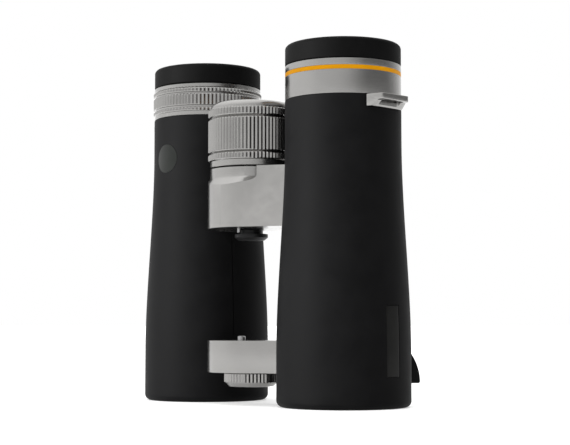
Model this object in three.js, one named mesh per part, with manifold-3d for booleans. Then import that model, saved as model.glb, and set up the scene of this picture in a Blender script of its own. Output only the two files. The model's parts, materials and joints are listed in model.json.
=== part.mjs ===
// Open-bridge binoculars: two roof-prism barrels on a double hinge, with a centre focus wheel,
// a diopter ring, twist-up eyecups, strap lugs and a capped tripod socket.
// Millimetres. They stand on the objective rims: z = 0 is the rims' plane and +Z points to the
// eyepieces. The barrels' axes lie at x = +-HALF_IPD, y = 0. -Y is the side that faces up in use
// and carries the hinge. The user's left barrel is at +X.
import * as THREE from "three";
import { mergeVertices } from "three/addons/utils/BufferGeometryUtils.js";
import Module from "manifold-3d";

const wasm = await Module();
wasm.setup();

// ---- Driving dimensions ----
const HALF_IPD = 41.13; // half the distance between the barrel axes, opened to the stop
const HINGE_DROP = 11.6; // how far the hinge axis lies on the -Y side of the barrels' plane
const HEIGHT = 142.3;
const GAP = 0.3; // clearance between neighbouring pieces
const PIN_FIT = 0.2; // clearance round a pin
const ROUND = 32; // facets on the outer surfaces
const INNER_ROUND = 20; // facets on inner pieces
const FINE_ROUND = 12; // facets on pins and lenses

// Barrel armour: straight at the objective end, an S-curve, straight at the eyepiece end.
const OBJECTIVE_R = 26.5;
const NECK_R = 23.1;
const FLARE_START_Z = 20;
const FLARE_END_Z = 105;
const ARMOR_TOP_Z = 120.6;
const ARMOR_THICK = 1.6;
const ARMOR_LIP_R = 22.7;
const RIM_FLAT_R = 23.9;
const RIM_ROUND_Z = 2.6;
const TUBE_WALL = 1.5;
const TUBE_BOTTOM_Z = 2.3;
const LEDGE_Z = [103.8, 105.8]; // the tube's inner ledge, over the prism holder
const LEDGE_R = 15;

// Thumb rest moulded on the armour's underside.
const REST_ANGLE = THREE.MathUtils.degToRad(68);
const REST_REACH_R = 31.3;
const REST_BOTTOM_Z = 8.9;
const REST_TOP_Z = 24.1;
const REST_HALF_W = 3.2;
const LABEL_HALF_W = 3.45;
const LABEL_Z = [12.3, 39.4];
const BADGE_R = 6.1;
const BADGE_Z = 102.6;

// Eyepiece end.
const COLLAR_R = 23.03;
const COLLAR_BORE_R = 21.7;
const COLLAR_TOP_Z = 134.1;
const COLLAR_FLOOR = 1.8;
const STRIPE_Z = 130.7;
const STRIPE_H = 1.6;
const STRIPE_DEPTH = 0.6;
const EYEPIECE_R = 17;
const EYEPIECE_BORE_R = 14.6;
const EYEPIECE_TOP_Z = 138.2;
const SLEEVE_R = 21.3;
const SLEEVE_TOP_Z = 139.3;
const CUP_ROUNDING = 1.8;
const CUP_MOUTH_R = 16;
const DIOPTER_TEETH = 88;
const DIOPTER_KNURL_R = 23.5;

// Hinge bridges, in a frame centred on the hinge axis.
const UPPER_Z = [71, 95.25];
const LOWER_Z = [13, 25.8];
const NOSE_R = 17;
const NOSE_CENTRE = [0.7, -1.6];
const NOSE_BACK_R = 13;
const FRONT_FACE_ANGLE = THREE.MathUtils.degToRad(30); // flat front face, tangent to the nose
const FRONT_FACE_RUN = 32;
const POCKET_R = 12.5;
const HUB_R = 12.2;
const ARM_HALF_W = 6.2;
const ARM_ROOT_R = 13.4;
const UPPER_HUB_Z = [75.9, 83];
const LOWER_HUB_Z = [16.3, 22.5];
const WINDOW_TOP_Z = 91.3; // the upper pocket runs on past its hub, round the drive disc
const FINGER_TUNNEL_Z = [84.6, 89.8];
const BOSS_R = 16.9; // round boss under the wheel, left standing by a crescent-shaped cove
const BOSS_BOTTOM_Z = 91.5;
const COVE_WIDTH = 4;
const COVE_FALL = 6.8; // at the front; it runs out to nothing at both ends
const BOSS_HALF_ANGLE = THREE.MathUtils.degToRad(53.3);
const UPPER_PIN_R = 4;
const LOWER_PIN_R = 5;
const LOWER_PIN_TOP_Z = 24;
const STOP_PIN_AT = [-1.1, -5.8];
const STOP_PIN_R = 0.75;
const STOP_PIN_Z = [69.4, 74.4];
const DOWEL_AT = [2.14, -7.2];
const DOWEL_R = 1.6;
const DOWEL_Z = [23.7, 27.6];

// Centre focus.
const WHEEL_TEETH = 72;
const WHEEL_R = 17.73;
const WHEEL_BOTTOM_Z = 95.6;
const WHEEL_RIB_Z = [102, 115.5];
const WHEEL_BODY_TOP_Z = 119.6;
const WHEEL_TOP_Z = 122.5;
const WHEEL_BORE_R = 14.5;
const SPINDLE_R = 3;
const DISC_Z = 85.6; // underside of the drive disc, mid-travel
const DISC_R = 10.5;
const DISC_CORE_R = 8.3;
const DISC_H = 3.2;
const DISC_FLANGE_H = 0.8;
const FINGER_HALF_W = 1.7;
const FINGER_H = 1.2;

// Tripod socket, 1/4 inch thread.
const CAP_TEETH = 45;
const CAP_R = 10.96;
const CAP_Z = [7.1, 12.7];
const CAP_CHAMFER = 1.6;
const SEAL_R = [5.5, 7.5];
const SEAL_Z = [11.9, 12.8];
const TRIPOD_THREAD_R = 3.175;
const TRIPOD_THREAD_TOP_Z = 21.5;
const STUD_R = TRIPOD_THREAD_R - 0.3;
const STUD_TOP_Z = 20;

// ---- Worked-out values ----
const ARM_LENGTH = Math.hypot(HALF_IPD, HINGE_DROP);
const LEFT_ARM_ANGLE = Math.atan2(HINGE_DROP, HALF_IPD);
const RIGHT_ARM_ANGLE = Math.PI - LEFT_ARM_ANGLE;
const LEFT = { name: "left", sign: 1 };
const RIGHT = { name: "right", sign: -1 };

// ---- Geometry helpers ----
function barrelRadius(z) {
  const t = THREE.MathUtils.clamp((z - FLARE_START_Z) / (FLARE_END_Z - FLARE_START_Z), 0, 1);
  return OBJECTIVE_R - (OBJECTIVE_R - NECK_R) * t * t * (3 - 2 * t);
}

// A body of revolution about Z from [radius, z] pairs listed anticlockwise.
function revolve(profile, segments = INNER_ROUND) {
  const points = profile.map(([r, z]) => new THREE.Vector2(r, z));
  if (profile[0][0] > 0) points.push(points[0].clone());
  return new THREE.LatheGeometry(points, segments).rotateX(Math.PI / 2);
}

function disc(radius, z0, z1, segments = INNER_ROUND) {
  return revolve([[0, z0], [radius, z0], [radius, z1], [0, z1]], segments);
}

function ring(inner, outer, z0, z1, segments = INNER_ROUND) {
  return revolve([[inner, z0], [outer, z0], [outer, z1], [inner, z1]], segments);
}

// A straight prism from an outline in the XY plane.
function prism(outline, z0, z1) {
  const shape = new THREE.Shape(outline.map(([x, y]) => new THREE.Vector2(x, y)));
  const options = { depth: z1 - z0, bevelEnabled: false };
  return new THREE.ExtrudeGeometry(shape, options).translate(0, 0, z0);
}

function arc(cx, cy, radius, start, end, steps) {
  const points = [];
  for (let i = 0; i <= steps; i += 1) {
    const a = start + ((end - start) * i) / steps;
    points.push([cx + radius * Math.cos(a), cy + radius * Math.sin(a)]);
  }
  return points;
}

// A straight bar that runs radially at an angle, from radius r0 to r1.
function bar(angle, r0, r1, halfWidth, z0, z1) {
  const outline = [[r0, -halfWidth], [r1, -halfWidth], [r1, halfWidth], [r0, halfWidth]];
  return prism(outline, z0, z1).rotateZ(angle);
}

function wedge(start, end, radius, z0, z1) {
  const rim = arc(0, 0, radius, start, end, 16);
  return prism([[0, 0], ...rim], z0, z1);
}

// A toothed prism: the knurl's straight ribs.
function toothed(teeth, outer, inner, z0, z1) {
  const outline = [];
  for (let i = 0; i < teeth; i += 1) {
    const a = (2 * Math.PI * i) / teeth;
    const half = Math.PI / teeth;
    outline.push([outer * Math.cos(a), outer * Math.sin(a)]);
    outline.push([inner * Math.cos(a + half), inner * Math.sin(a + half)]);
  }
  return prism(outline, z0, z1);
}

// The space between the barrel's surface moved in by two offsets, over a height.
function barrelShell(outerInset, innerInset, z0, z1, steps, segments = ROUND) {
  const outer = [];
  for (let i = 0; i <= steps; i += 1) {
    const z = z0 + ((z1 - z0) * i) / steps;
    outer.push([barrelRadius(z) - outerInset, z]);
  }
  const inner = outer.map(([r, z]) => [r + outerInset - innerInset, z]).reverse();
  return revolve([...outer, ...inner], segments);
}

// ---- Booleans ----
function solid(geometry) {
  const bare = new THREE.BufferGeometry();
  const flat = geometry.index ? geometry.toNonIndexed() : geometry;
  bare.setAttribute("position", flat.getAttribute("position"));
  const merged = mergeVertices(bare, 1e-4);
  const mesh = new wasm.Mesh({
    numProp: 3,
    vertProperties: merged.getAttribute("position").array,
    triVerts: new Uint32Array(merged.index.array),
  });
  return new wasm.Manifold(mesh);
}

function geometryOf(manifold) {
  const mesh = manifold.getMesh();
  const geometry = new THREE.BufferGeometry();
  geometry.setAttribute("position", new THREE.BufferAttribute(mesh.vertProperties, 3));
  geometry.setIndex(new THREE.BufferAttribute(mesh.triVerts, 1));
  geometry.computeVertexNormals();
  return geometry;
}

function join(first, ...others) {
  return others.reduce((sum, g) => sum.add(solid(g)), solid(first));
}

function cut(body, ...tools) {
  return tools.reduce((rest, g) => rest.subtract(solid(g)), body);
}

// ---- Materials ----
const material = {
  armor: { color: 0x1b1b1c, roughness: 0.75, metalness: 0 },
  silver: { color: 0xa8a6a3, roughness: 0.35, metalness: 0.9 },
  black_metal: { color: 0x232324, roughness: 0.55, metalness: 0.4 },
  eyecup: { color: 0x161616, roughness: 0.7, metalness: 0 },
  glass: { color: 0x9fc4bb, roughness: 0.05, metalness: 0 },
  stripe: { color: 0xe89e08, roughness: 0.45, metalness: 0 },
  badge: { color: 0x3c3e3c, roughness: 0.4, metalness: 0.3 },
  plate: { color: 0x232321, roughness: 0.5, metalness: 0 },
  brass: { color: 0xb08d4a, roughness: 0.4, metalness: 0.9 },
  steel: { color: 0xb9babb, roughness: 0.3, metalness: 1 },
};

function node(name, geometry, look) {
  const mesh = new THREE.Mesh(geometry, new THREE.MeshStandardMaterial(material[look]));
  mesh.name = name;
  return mesh;
}

// ---- Bridge outlines, centred on the hinge axis ----
// The left frame's nose: round in front and on the far side, a flat front face running into
// the barrel, and a smaller radius behind where the right barrel swings past.
function noseOutline(grow = 0) {
  const [cx, cy] = NOSE_CENTRE;
  const radius = NOSE_R + grow;
  const tangent = FRONT_FACE_ANGLE - Math.PI / 2;
  const along = [Math.cos(FRONT_FACE_ANGLE), Math.sin(FRONT_FACE_ANGLE)];
  const startX = cx + radius * Math.cos(tangent);
  const startY = cy + radius * Math.sin(tangent);
  return [
    ...arc(cx, cy, radius, THREE.MathUtils.degToRad(-168), tangent, 18),
    [startX + along[0] * FRONT_FACE_RUN, startY + along[1] * FRONT_FACE_RUN],
    [36, 17 + grow],
    ...arc(0, 0, NOSE_BACK_R + grow, THREE.MathUtils.degToRad(60), THREE.MathUtils.degToRad(188), 12),
  ];
}

function rightArm(grow, z0, z1) {
  return bar(RIGHT_ARM_ANGLE, ARM_ROOT_R - grow, 32, ARM_HALF_W + grow, z0, z1);
}

// Where the right barrel's arm enters the nose: a pocket for its hub and a window behind.
function hubPocket(z0, z1) {
  const start = THREE.MathUtils.degToRad(68);
  const end = THREE.MathUtils.degToRad(196);
  return solid(disc(POCKET_R, z0, z1)).add(solid(wedge(start, end, 24, z0, z1)));
}

// Moves a shape from the hinge axis to a barrel's own frame.
function toBarrel(geometry, side) {
  return geometry.translate(-side.sign * HALF_IPD, -HINGE_DROP, 0);
}

function angleToHinge(side) {
  return Math.atan2(-HINGE_DROP, -side.sign * HALF_IPD);
}

// ---- Barrel pieces, about the barrel's own axis ----
// The metal housing: tube, objective seat, prism ledge and eyepiece plate.
function tubeProfile() {
  const outset = ARMOR_THICK + GAP;
  const inset = outset + TUBE_WALL;
  const heights = [36, 50, 62, 75, 90, FLARE_END_Z];
  const outer = heights.map((z) => [barrelRadius(z) - outset, z]);
  const inner = [62, 36].map((z) => [barrelRadius(z) - inset, z]);
  const topZ = ARMOR_TOP_Z - GAP;
  return [
    [22.7, TUBE_BOTTOM_Z],
    [OBJECTIVE_R - outset, TUBE_BOTTOM_Z],
    [OBJECTIVE_R - outset, FLARE_START_Z],
    ...outer,
    [NECK_R - outset, topZ],
    [EYEPIECE_R + GAP, topZ],
    [EYEPIECE_R + GAP, topZ - 2.8],
    [NECK_R - inset, topZ - 2.8],
    [NECK_R - inset, LEDGE_Z[1]],
    [LEDGE_R, LEDGE_Z[1]],
    [LEDGE_R, LEDGE_Z[0]],
    [barrelRadius(LEDGE_Z[0]) - inset, LEDGE_Z[0]],
    ...inner,
    [OBJECTIVE_R - inset, 17],
    [20.6, 16.5],
    [20.6, 14.8],
    [22.7, 14.8],
  ];
}

// Level way for the focus finger, through the arm and the tube wall.
function fingerTunnel(angle) {
  return bar(angle, 9, 25, FINGER_HALF_W + 0.6, ...FINGER_TUNNEL_Z);
}

// Crescent cut below the round boss: deepest at the front, nothing at either end.
function coveCutter() {
  const outer = BOSS_R + COVE_WIDTH;
  const top = UPPER_Z[1] + 1;
  const profile = [[BOSS_R, BOSS_BOTTOM_Z], [outer, BOSS_BOTTOM_Z], [outer, top], [BOSS_R, top]];
  const cutter = revolve(profile, ROUND);
  const corners = cutter.attributes.position;
  for (let i = 0; i < corners.count; i += 1) {
    const [x, y, z] = [corners.getX(i), corners.getY(i), corners.getZ(i)];
    const turn = Math.min(Math.abs(Math.atan2(x, -y)) / BOSS_HALF_ANGLE, 1);
    const isOuterFoot = z < top - 1 && Math.hypot(x, y) > BOSS_R + 1;
    if (isOuterFoot) corners.setZ(i, z - COVE_FALL * Math.cos((turn * Math.PI) / 2));
  }
  const front = -Math.PI / 2;
  const sector = wedge(front - BOSS_HALF_ANGLE, front + BOSS_HALF_ANGLE, 40, 80, 100);
  return solid(cutter).intersect(solid(sector));
}

function leftFrame() {
  const outline = noseOutline();
  const upper = prism(outline, ...UPPER_Z);
  const lower = prism(outline, ...LOWER_Z);
  let arms = solid(upper).add(solid(lower));
  arms = arms.subtract(hubPocket(UPPER_HUB_Z[0] - GAP, WINDOW_TOP_Z));
  arms = arms.subtract(hubPocket(LOWER_HUB_Z[0] - GAP, LOWER_HUB_Z[1] + GAP));
  arms = arms.subtract(coveCutter());
  arms = cut(
    arms,
    disc(UPPER_PIN_R + PIN_FIT, 70, 76, FINE_ROUND),
    disc(SPINDLE_R + GAP, 90, 96, FINE_ROUND),
    disc(LOWER_PIN_R + PIN_FIT, 12, LOWER_PIN_TOP_Z + GAP, FINE_ROUND),
    pinAt(STOP_PIN_AT, STOP_PIN_R + PIN_FIT, 70, STOP_PIN_Z[1] + GAP),
    pinAt(DOWEL_AT, DOWEL_R + PIN_FIT, DOWEL_Z[0] - GAP, 27),
    fingerTunnel(LEFT_ARM_ANGLE),
  );
  const bore = toHinge(innerSpace(), LEFT);
  const body = arms.subtract(bore).add(toHinge(solid(revolve(tubeProfile())), LEFT));
  const whole = cut(body, fingerTunnel(LEFT_ARM_ANGLE));
  return geometryOf(whole.translate([-HALF_IPD, -HINGE_DROP, 0]));
}

// The right frame's hubs turn on the hinge pins inside the left frame's pockets.
function rightFrame() {
  let arms = join(
    rightArm(0, ...UPPER_Z),
    rightArm(0, ...LOWER_Z),
    disc(HUB_R, ...UPPER_HUB_Z),
    disc(HUB_R, ...LOWER_HUB_Z),
    bar(RIGHT_ARM_ANGLE, 6, 20, ARM_HALF_W, ...UPPER_HUB_Z),
    bar(RIGHT_ARM_ANGLE, 6, 20, ARM_HALF_W, ...LOWER_HUB_Z),
  );
  const upperBore = disc(UPPER_PIN_R + PIN_FIT, 75, 84, FINE_ROUND);
  const lowerBore = disc(LOWER_PIN_R + PIN_FIT, 15, 24, FINE_ROUND);
  arms = cut(arms, upperBore, lowerBore);
  const bore = toHinge(innerSpace(), RIGHT);
  const body = arms.subtract(bore).add(toHinge(solid(revolve(tubeProfile())), RIGHT));
  const whole = cut(body, fingerTunnel(RIGHT_ARM_ANGLE));
  return geometryOf(whole.translate([HALF_IPD, -HINGE_DROP, 0]));
}

// The clear way inside the tube, which the arms must not fill.
function innerSpace() {
  const inset = ARMOR_THICK + GAP + TUBE_WALL;
  const profile = [[0, 0], [OBJECTIVE_R - inset - 0.4, 0], [OBJECTIVE_R - inset - 0.4, 16]];
  for (const z of [36, 62, LEDGE_Z[0]]) profile.push([barrelRadius(z) - inset, z]);
  profile.push([0, LEDGE_Z[0]]);
  return solid(revolve(profile));
}

function toHinge(manifold, side) {
  return manifold.translate([side.sign * HALF_IPD, HINGE_DROP, 0]);
}

// The rubber armour over the tube, open at the arms, the strap lug and the inlay.
function armorBase() {
  const outer = [[ARMOR_LIP_R, 0], [RIM_FLAT_R, 0]];
  const roundR = OBJECTIVE_R - RIM_FLAT_R;
  for (const a of [30, 60, 90].map(THREE.MathUtils.degToRad)) {
    const x = RIM_FLAT_R + roundR * Math.sin(a);
    outer.push([x, RIM_ROUND_Z * (1 - Math.cos(a))]);
  }
  const flare = [FLARE_START_Z, 36, 50, 62, 75, 90, FLARE_END_Z];
  for (const z of flare) outer.push([barrelRadius(z), z]);
  outer.push([NECK_R, ARMOR_TOP_Z - 0.4], [NECK_R - 0.4, ARMOR_TOP_Z]);
  const inner = flare.map((z) => [barrelRadius(z) - ARMOR_THICK, z]).reverse();
  const below = [OBJECTIVE_R - ARMOR_THICK, TUBE_BOTTOM_Z - GAP];
  return [...outer, [NECK_R - ARMOR_THICK, ARMOR_TOP_Z], ...inner, below, [ARMOR_LIP_R, 2]];
}

function thumbRest(side) {
  const profile = [[25.3, REST_BOTTOM_Z], [REST_REACH_R, REST_BOTTOM_Z]];
  const steps = 6;
  for (let i = 1; i <= steps; i += 1) {
    const t = i / steps;
    const z = REST_BOTTOM_Z + (REST_TOP_Z - REST_BOTTOM_Z) * t;
    profile.push([25.6 + (REST_REACH_R - 25.6) * (1 - t * t), z]);
  }
  const fin = prism(profile, -REST_HALF_W, REST_HALF_W).rotateX(Math.PI / 2);
  return fin.rotateZ(side === LEFT ? REST_ANGLE : Math.PI - REST_ANGLE);
}

function armor(side) {
  let body = join(revolve(armorBase(), ROUND), thumbRest(side));
  body = body.subtract(solid(disc(ARMOR_LIP_R, -1, 26, ROUND)));
  for (const [z0, z1] of [UPPER_Z, LOWER_Z]) {
    const low = z0 - GAP;
    const high = z1 + GAP;
    const arm = side === LEFT ? prism(noseOutline(GAP), low, high) : rightArm(GAP, low, high);
    body = body.subtract(solid(toBarrel(arm, side)));
  }
  const notch = lugBlock(side, GAP);
  const inlay = side === LEFT ? platePunch(GAP) : badgePunch(GAP);
  return geometryOf(body.subtract(notch).subtract(solid(inlay)));
}

// Strap lug: a loop bracket with an upright slot, screwed to the tube through the armour.
const LUG_TOP_Z = ARMOR_TOP_Z - GAP;
const LUG_ROOT_R = 21.6;
const LUG_FACE_R = 28.2;

function lugBlock(side, grow = 0) {
  const plan = [
    [LUG_ROOT_R - grow, -9.5 - grow],
    [LUG_FACE_R + grow, -7.4 - grow],
    [LUG_FACE_R + grow, 7.4 + grow],
    [LUG_ROOT_R - grow, 9.5 + grow],
  ];
  const sideView = [
    [LUG_ROOT_R - 1, LUG_TOP_Z - 4.7 - grow],
    [23.3, LUG_TOP_Z - 4.7 - grow],
    [LUG_FACE_R + 1, LUG_TOP_Z - 2 - grow],
    [LUG_FACE_R + 1, LUG_TOP_Z + grow * 2],
    [LUG_ROOT_R - 1, LUG_TOP_Z + grow * 2],
  ];
  const upright = prism(sideView, -12, 12).rotateX(Math.PI / 2);
  const level = prism(plan, 110, 125);
  const turn = side === LEFT ? 0 : Math.PI;
  return solid(upright.rotateZ(turn)).intersect(solid(level.rotateZ(turn)));
}

function strapLug(side) {
  const turn = side === LEFT ? 0 : Math.PI;
  const slot = bar(turn, 23.9, 27.1, 5.5, 110, 125);
  return geometryOf(cut(lugBlock(side), slot));
}

function platePunch(grow = 0) {
  return bar(0, 20, 32, LABEL_HALF_W + grow, LABEL_Z[0] - grow, LABEL_Z[1] + grow);
}

function badgePunch(grow = 0) {
  return disc(BADGE_R + grow, 18, 30, FINE_ROUND).rotateX(Math.PI / 2).translate(0, 0, BADGE_Z);
}

function labelPlate() {
  return geometryOf(solid(barrelShell(0.15, 1.5, 12, 44, 3)).intersect(solid(platePunch())));
}

function badge() {
  return geometryOf(solid(barrelShell(-0.05, 1.5, 94, 111, 3)).intersect(solid(badgePunch())));
}

function lens(radius, edgeBottom, edgeTop, bulgeBottom, bulgeTop) {
  const profile = [[0, edgeBottom - bulgeBottom], [radius * 0.55, edgeBottom - bulgeBottom * 0.7]];
  profile.push([radius, edgeBottom], [radius, edgeTop]);
  profile.push([radius * 0.55, edgeTop + bulgeTop * 0.7], [0, edgeTop + bulgeTop]);
  return revolve(profile, FINE_ROUND);
}

function objectiveRing() {
  return revolve([[20.6, 1.6], [22.3, 1.6], [22.3, 8], [20.6, 8]], INNER_ROUND);
}

// The moving focus lens cell, with the rod and finger that reach the drive disc.
function focusCell(side) {
  const angle = angleToHinge(side);
  const tip = ARM_LENGTH - DISC_CORE_R - 0.5;
  const ringPart = revolve([[16.2, 56], [19, 56], [19, 64], [17.2, 64], [17.2, 57], [16.2, 57]]);
  const fingerZ = DISC_Z + DISC_FLANGE_H + 0.2;
  return geometryOf(join(
    ringPart,
    bar(angle, 17.3, 19.3, FINGER_HALF_W, 60, fingerZ + FINGER_H),
    bar(angle, 17.3, tip, FINGER_HALF_W, fingerZ, fingerZ + FINGER_H),
  ));
}

function prismHolder() {
  const cage = revolve([[0, 75], [16.4, 75], [16.4, 100.3], [19.2, 100.3], [19.2, 103.5], [0, 103.5]]);
  const window = new THREE.BoxGeometry(18.8, 18.8, 40).translate(0, 0, 90);
  return geometryOf(cut(solid(cage), window));
}

// The two glass blocks of a roof prism pair, with a thin slanted air gap between them.
function prismBlock(outline) {
  return prism(outline, -9, 9).rotateX(Math.PI / 2);
}

const PRISM_A = [[-9, 77], [9, 77], [9, 90], [-9, 83]];
const PRISM_B = [[-9, 84], [9, 91], [9, 95], [2, 102], [-9, 102]];

function eyepieceTube() {
  const z0 = 106.5;
  const lip = EYEPIECE_TOP_Z - 1.4;
  return revolve([
    [EYEPIECE_BORE_R, z0],
    [EYEPIECE_R, z0],
    [EYEPIECE_R, EYEPIECE_TOP_Z],
    [12.6, EYEPIECE_TOP_Z],
    [12.6, lip],
    [EYEPIECE_BORE_R, lip],
  ]);
}

function eyecupSleeve() {
  const bottom = ARMOR_TOP_Z + COLLAR_FLOOR + 0.4;
  const wallR = SLEEVE_R - 1.4;
  return revolve([
    [wallR, bottom],
    [SLEEVE_R, bottom],
    [SLEEVE_R, SLEEVE_TOP_Z],
    [EYEPIECE_R + 0.4, SLEEVE_TOP_Z],
    [EYEPIECE_R + 0.4, SLEEVE_TOP_Z - 2],
    [wallR, SLEEVE_TOP_Z - 2],
  ]);
}

function eyecup() {
  const outer = [];
  const steps = 3;
  for (let i = 0; i <= steps; i += 1) {
    const a = (Math.PI / 2) * (i / steps);
    const r = COLLAR_R - CUP_ROUNDING * (1 - Math.cos(a));
    outer.push([r, HEIGHT - CUP_ROUNDING * (1 - Math.sin(a))]);
  }
  return revolve([
    [SLEEVE_R + GAP, COLLAR_TOP_Z + GAP],
    [COLLAR_R, COLLAR_TOP_Z + GAP],
    ...outer,
    [CUP_MOUTH_R + 1, HEIGHT],
    [CUP_MOUTH_R, HEIGHT - 1],
    [CUP_MOUTH_R, SLEEVE_TOP_Z + GAP],
    [SLEEVE_R + GAP, SLEEVE_TOP_Z + GAP],
  ], ROUND);
}

// The smooth collar of the left eyepiece, with a channel for the coloured stripe.
function accentCollar() {
  const floor = ARMOR_TOP_Z + COLLAR_FLOOR;
  const channelR = COLLAR_R - STRIPE_DEPTH - 0.1;
  const low = STRIPE_Z - STRIPE_H / 2 - 0.1;
  const high = STRIPE_Z + STRIPE_H / 2 + 0.1;
  return revolve([
    [EYEPIECE_R + 0.4, ARMOR_TOP_Z],
    [COLLAR_R, ARMOR_TOP_Z],
    [COLLAR_R, low],
    [channelR, low],
    [channelR, high],
    [COLLAR_R, high],
    [COLLAR_R, COLLAR_TOP_Z],
    [COLLAR_BORE_R, COLLAR_TOP_Z],
    [COLLAR_BORE_R, floor],
    [EYEPIECE_R + 0.4, floor],
  ], ROUND);
}

function accentStripe() {
  const low = STRIPE_Z - STRIPE_H / 2;
  return ring(COLLAR_R - STRIPE_DEPTH, COLLAR_R, low, low + STRIPE_H, ROUND);
}

// The diopter ring: a wide knurled band between two V grooves and two narrow bands.
function diopterRing() {
  const top = COLLAR_TOP_Z;
  const grooveR = COLLAR_R - 0.7;
  const floor = ARMOR_TOP_Z + COLLAR_FLOOR;
  const bandR = DIOPTER_KNURL_R - 0.1;
  const core = revolve([
    [EYEPIECE_R + 0.4, ARMOR_TOP_Z],
    [COLLAR_R, ARMOR_TOP_Z],
    [bandR, top - 11.6],
    [bandR, top - 10.2],
    [grooveR, top - 9.7],
    [COLLAR_R - 0.3, top - 9.2],
    [COLLAR_R - 0.3, top - 4.4],
    [grooveR, top - 4],
    [bandR, top - 3.6],
    [bandR, top - 1.9],
    [COLLAR_R, top - 1.7],
    [COLLAR_R, top],
    [COLLAR_BORE_R, top],
    [COLLAR_BORE_R, floor],
    [EYEPIECE_R + 0.4, floor],
  ], ROUND);
  const teeth = toothed(DIOPTER_TEETH, DIOPTER_KNURL_R, COLLAR_R, top - 9.2, top - 4.4);
  const band = cut(solid(teeth), disc(COLLAR_BORE_R + 0.4, 100, HEIGHT, ROUND));
  return geometryOf(band.add(solid(core)));
}

// ---- Centre pieces, about the hinge axis ----
function pinAt([x, y], radius, z0, z1) {
  return disc(radius, z0, z1, 12).translate(x, y, 0);
}

// The wheel: a skirt, then a wide knurled band between two V grooves and two narrow bands,
// over a web with the hub that grips the spindle.
function focusWheel() {
  const skirtR = BOSS_R;
  const coreR = WHEEL_R - 0.5;
  const bandR = WHEEL_R - 0.1;
  const [ribLow, ribHigh] = WHEEL_RIB_Z;
  const [webLow, webHigh] = [104, 106.5];
  const [hubR, hubTop] = [6, 112];
  const core = revolve([
    [0, webLow],
    [WHEEL_BORE_R, webLow],
    [WHEEL_BORE_R, WHEEL_BOTTOM_Z],
    [skirtR, WHEEL_BOTTOM_Z],
    [skirtR, ribLow - 3.6],
    [bandR, ribLow - 3.2],
    [bandR, ribLow - 0.9],
    [skirtR, ribLow - 0.4],
    [coreR, ribLow],
    [coreR, ribHigh],
    [skirtR, ribHigh + 0.6],
    [bandR, ribHigh + 1],
    [bandR, WHEEL_BODY_TOP_Z - 0.3],
    [bandR - 0.3, WHEEL_BODY_TOP_Z],
    [WHEEL_BORE_R, WHEEL_BODY_TOP_Z],
    [WHEEL_BORE_R, webHigh],
    [hubR, webHigh],
    [hubR, hubTop],
    [0, hubTop],
  ], ROUND);
  const teeth = toothed(WHEEL_TEETH, WHEEL_R, WHEEL_R - 0.55, ribLow, ribHigh);
  const band = cut(solid(teeth), disc(WHEEL_BORE_R + 1, 90, 130, ROUND));
  const whole = band.add(solid(core));
  return geometryOf(cut(whole, disc(SPINDLE_R + PIN_FIT, 100, 115, FINE_ROUND)));
}

function focusWheelCap() {
  const seat = WHEEL_BODY_TOP_Z + 0.1;
  const under = seat - 2.7;
  return revolve([
    [0, under],
    [WHEEL_BORE_R - GAP, under],
    [WHEEL_BORE_R - GAP, seat],
    [BOSS_R, seat],
    [BOSS_R - 0.2, seat + 1.2],
    [BOSS_R - 1.3, WHEEL_TOP_Z - 0.7],
    [BOSS_R - 3, WHEEL_TOP_Z],
    [0, WHEEL_TOP_Z],
  ], ROUND);
}

// A spool: the fingers of both focus cells ride in its groove while it climbs the spindle.
function focusDriveDisc() {
  const z = DISC_Z;
  const bore = SPINDLE_R + 0.25;
  return revolve([
    [bore, z],
    [DISC_R, z],
    [DISC_R, z + DISC_FLANGE_H],
    [DISC_CORE_R, z + DISC_FLANGE_H],
    [DISC_CORE_R, z + DISC_H - DISC_FLANGE_H],
    [DISC_R, z + DISC_H - DISC_FLANGE_H],
    [DISC_R, z + DISC_H],
    [bore, z + DISC_H],
  ], FINE_ROUND);
}

function hingeEndButton() {
  return revolve([
    [0, 66.5],
    [5.6, 66.5],
    [6.8, 67.6],
    [6.8, 69],
    [4.6, 69],
    [4.6, UPPER_Z[0] - GAP],
    [0, UPPER_Z[0] - GAP],
  ], INNER_ROUND);
}

// The lower hinge pin is also the tripod bush: its underside has the blind thread.
function lowerHingePin() {
  const bottom = LOWER_Z[0] + GAP;
  return revolve([
    [TRIPOD_THREAD_R, bottom],
    [LOWER_PIN_R, bottom],
    [LOWER_PIN_R, LOWER_PIN_TOP_Z],
    [0, LOWER_PIN_TOP_Z],
    [0, TRIPOD_THREAD_TOP_Z],
    [TRIPOD_THREAD_R, TRIPOD_THREAD_TOP_Z],
  ], FINE_ROUND);
}

function tripodCap() {
  const [low, high] = CAP_Z;
  const teeth = toothed(CAP_TEETH, CAP_R, CAP_R - 0.5, low, high);
  const limit = revolve([
    [0, low],
    [CAP_R - CAP_CHAMFER, low],
    [CAP_R + 0.1, low + CAP_CHAMFER],
    [CAP_R + 0.1, high],
    [0, high],
  ], INNER_ROUND);
  const stud = disc(STUD_R, high - 1, STUD_TOP_Z, FINE_ROUND);
  const knob = solid(teeth).intersect(solid(limit)).add(solid(stud));
  const groove = ring(SEAL_R[0] - GAP, SEAL_R[1] + GAP, SEAL_Z[0] - GAP, high + 1);
  return geometryOf(cut(knob, groove));
}

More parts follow.
